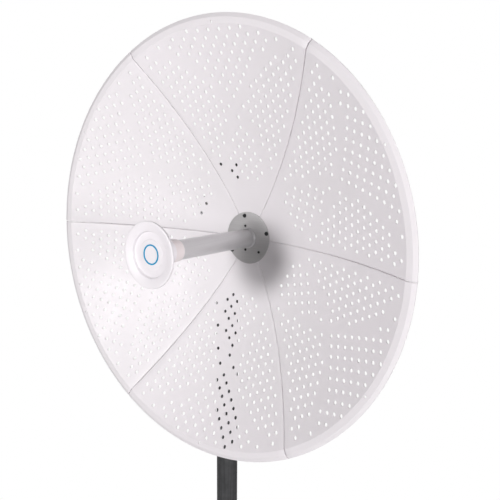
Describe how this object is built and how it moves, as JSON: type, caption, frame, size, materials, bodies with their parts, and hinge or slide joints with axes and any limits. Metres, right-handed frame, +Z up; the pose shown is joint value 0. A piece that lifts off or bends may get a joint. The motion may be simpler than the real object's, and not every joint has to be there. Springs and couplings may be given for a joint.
{
  "type": "satellite dish",
  "caption": "White perforated parabolic dish of six petals with a centre tube feed, on a tilting side-offset clamp on a round mast.",
  "frame": {"origin": "centre of the flat underside of the mast's foot plug", "axes": "+Z up along the mast; the dish looks along -Y, raised 3 degrees; +X from the mast towards the middle of the dish"},
  "size_m": [0.9144, 0.4894, 1.4646],
  "materials": {
    "white_paint": "satin white powder coat",
    "galvanised": "dark weathered galvanised steel",
    "zinc": "zinc plated",
    "dark_bolt": "black zinc",
    "aluminium": "satin aluminium",
    "white_plastic": "satin moulded plastic",
    "blue_print": "printed ring",
    "black_plastic": "matt moulded plastic",
    "dielectric": "natural fluoropolymer",
    "brass": "nickel plated brass"
  },
  "bodies": {
    "mast": {"mast_tube": "galvanised", "mast_cap": "black_plastic", "mast_foot_plug": "black_plastic"},
    "pole_mount": {"pole_bracket": "zinc", "upper_saddle": "zinc", "lower_saddle": "zinc", "upper_jaw": "zinc", "lower_jaw": "zinc", "clamp_bolt_1": "zinc", "clamp_bolt_2": "zinc", "clamp_bolt_3": "zinc", "clamp_bolt_4": "zinc", "clamp_nut_1": "zinc", "clamp_nut_2": "zinc", "clamp_nut_3": "zinc", "clamp_nut_4": "zinc", "pivot_bolt_left": "zinc", "pivot_bolt_right": "zinc", "pivot_nut_left": "zinc", "pivot_nut_right": "zinc"},
    "dish": {"petal_1": "white_paint", "petal_2": "white_paint", "petal_3": "white_paint", "petal_4": "white_paint", "petal_5": "white_paint", "petal_6": "white_paint", "hub_front_plate": "aluminium", "hub_backing_plate": "zinc", "hub_bolt_1": "dark_bolt", "hub_bolt_2": "dark_bolt", "hub_bolt_3": "dark_bolt", "feed_screw_1": "dark_bolt", "feed_screw_2": "dark_bolt", "feed_screw_3": "dark_bolt", "feed_base_ring": "aluminium", "elevation_bracket": "zinc", "lock_bolt_left": "zinc", "lock_bolt_right": "zinc", "lock_nut_left": "zinc", "lock_nut_right": "zinc", "rod_pin": "zinc"},
    "tilt_rod": {"elevation_rod": "zinc"},
    "tilt_swivel": {"rod_swivel": "zinc", "rod_nut_front": "zinc", "rod_nut_rear": "zinc"},
    "feed": {"feed_tube": "aluminium", "feed_collar": "white_plastic", "dielectric_plug": "dielectric", "feed_cover_rear": "white_plastic", "feed_cover_front": "white_plastic", "subreflector": "aluminium", "feed_ring": "blue_print", "waveguide_block": "aluminium", "radio_port_1": "brass", "radio_port_2": "brass"}
  },
  "joints": [
    {"name": "azimuth", "type": "hinge", "parent": "mast", "child": "pole_mount", "pos_m": [0, 0, 1], "axis": [0, 0, 1], "range_deg": [-180, 180]},
    {"name": "elevation", "type": "hinge", "parent": "pole_mount", "child": "dish", "pos_m": [0.1545, -0.06437, 0.99738], "axis": [-1, 0, 0], "range_deg": [-18, 17]},
    {"name": "rod_pivot", "type": "hinge", "parent": "dish", "child": "tilt_rod", "pos_m": [0.1545, -0.09373, 0.90703], "axis": [-1, 0, 0], "range_deg": [-8.5, 9]},
    {"name": "swivel_turn", "type": "hinge", "parent": "pole_mount", "child": "tilt_swivel", "pos_m": [0.1545, -0.02878, 0.9093], "axis": [-1, 0, 0], "range_deg": [-9, 8.5]},
    {"name": "polarisation", "type": "hinge", "parent": "dish", "child": "feed", "pos_m": [0.1545, -0.1143, 1], "axis": [0, -0.9986, 0.0523], "range_deg": [0, 90]}
  ],
  "couplings": [
    {"joint": "rod_pivot", "follows": "elevation", "ratio": -0.5},
    {"joint": "swivel_turn", "follows": "elevation", "ratio": 0.5}
  ]
}
